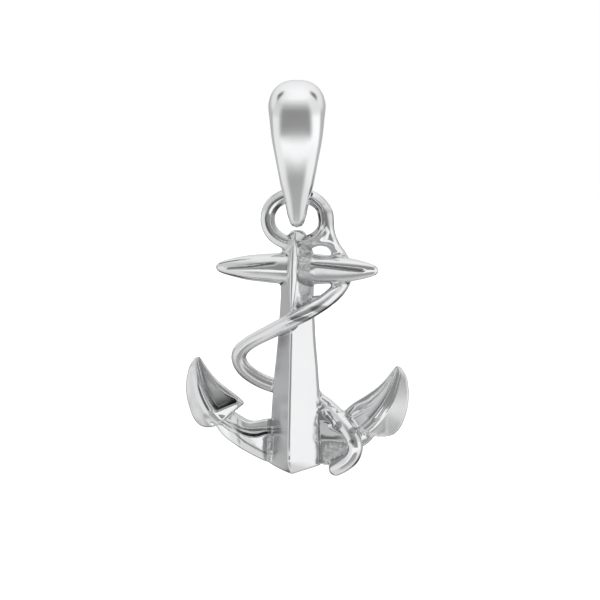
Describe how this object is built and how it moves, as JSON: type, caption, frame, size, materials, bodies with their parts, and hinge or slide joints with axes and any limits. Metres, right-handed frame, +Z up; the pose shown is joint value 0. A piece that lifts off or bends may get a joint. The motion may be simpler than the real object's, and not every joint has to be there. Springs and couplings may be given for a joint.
{
  "type": "anchor pendant",
  "caption": "Silver anchor pendant with a rope winding round its shank, hanging by a wire eye in a tapered domed bail that a chain passes through",
  "frame": {"origin": "middle of the line on which a chain bears inside the bail's crown, between its two inner edges", "axes": "+Z up along the hanging pendant, -Y the bail's front, +X to the viewer's right along the chain"},
  "size_m": [0.0149, 0.0054, 0.026],
  "materials": {
    "bail_silver": "mirror-polished, rhodium-plated sterling silver",
    "anchor_silver": "polished sterling silver casting, satin in its recesses"
  },
  "bodies": {
    "bail": {"bail": "bail_silver"},
    "anchor": {"anchor": "anchor_silver"}
  },
  "joints": [
    {"name": "swing", "type": "hinge", "parent": "bail", "child": "anchor", "pos_m": [0, 0, -0.0057], "axis": [0.9659, -0.2588, -0.0105], "range_deg": [-55, 55]}
  ]
}
